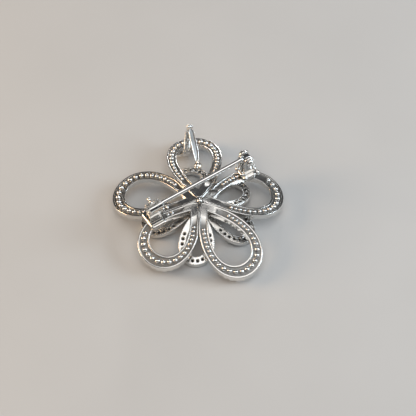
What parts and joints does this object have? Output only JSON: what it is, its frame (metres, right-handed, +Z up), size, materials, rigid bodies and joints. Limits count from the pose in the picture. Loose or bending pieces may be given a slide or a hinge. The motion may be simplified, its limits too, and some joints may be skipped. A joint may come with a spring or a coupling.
{
  "type": "flower brooch",
  "caption": "Flower brooch of openwork petals with a folding safety pin and roll-over catch on its back and a clip-on bail.",
  "frame": {"origin": "on the surface the brooch lies on, under the middle of the flower, with the brooch face down", "axes": "+Z up out of the back with the pin, +Y towards the petal that carries the bail"},
  "size_m": [0.0423, 0.0423, 0.0131],
  "materials": {
    "silver": "polished rhodium-plated silver",
    "bead_silver": "polished silver beads in a darkened channel",
    "pin_wire": "hard-drawn polished silver wire",
    "findings": "bright cast silver findings",
    "pave_stones": "clear brilliant-cut stones",
    "centre_stone": "clear faceted stone"
  },
  "bodies": {
    "flower": {"outer_petal_top": "silver", "outer_petal_left": "silver", "outer_petal_low_left": "silver", "outer_petal_low_right": "silver", "outer_petal_right": "silver", "beads_top": "bead_silver", "beads_left": "bead_silver", "beads_low_left": "bead_silver", "beads_low_right": "bead_silver", "beads_right": "bead_silver", "outer_stones_top": "pave_stones", "outer_stones_left": "pave_stones", "outer_stones_low_left": "pave_stones", "outer_stones_low_right": "pave_stones", "outer_stones_right": "pave_stones", "inner_petal_1": "silver", "inner_petal_2": "silver", "inner_petal_3": "silver", "inner_petal_4": "silver", "inner_petal_5": "silver", "inner_stones_1": "pave_stones", "inner_stones_2": "pave_stones", "inner_stones_3": "pave_stones", "inner_stones_4": "pave_stones", "inner_stones_5": "pave_stones", "hub_post": "silver", "centre_basket": "silver", "centre_stone": "centre_stone", "hinge_bracket": "findings", "hinge_rivet": "findings", "catch_base": "findings", "catch_body": "findings"},
    "pin": {"pin_stem": "pin_wire"},
    "roller": {"catch_roller": "findings"},
    "bail": {"bail_leaf": "silver", "bail_stones": "pave_stones", "bail_pin": "findings"},
    "bail_clip": {"bail_arm": "silver"}
  },
  "joints": [
    {"name": "pin_swing", "type": "hinge", "parent": "flower", "child": "pin", "pos_m": [0.01151, 0.01016, 0.0111], "axis": [-0.5505, 0.8348, 0], "range_deg": [0, 75]},
    {"name": "catch_turn", "type": "hinge", "parent": "flower", "child": "roller", "pos_m": [-0.01078, -0.00454, 0.0117], "axis": [0.8348, 0.5505, 0], "range_deg": [0, 90]},
    {"name": "bail_swing", "type": "hinge", "parent": "flower", "child": "bail", "pos_m": [-0.00399, 0.02056, 0.00238], "axis": [-0.8774, -0.367, 0.309], "range_deg": [-3, 6]},
    {"name": "bail_open", "type": "hinge", "parent": "bail", "child": "bail_clip", "pos_m": [-0.0026, 0.02211, 0.00818], "axis": [-0.8774, -0.367, 0.309], "range_deg": [0, 60]}
  ]
}
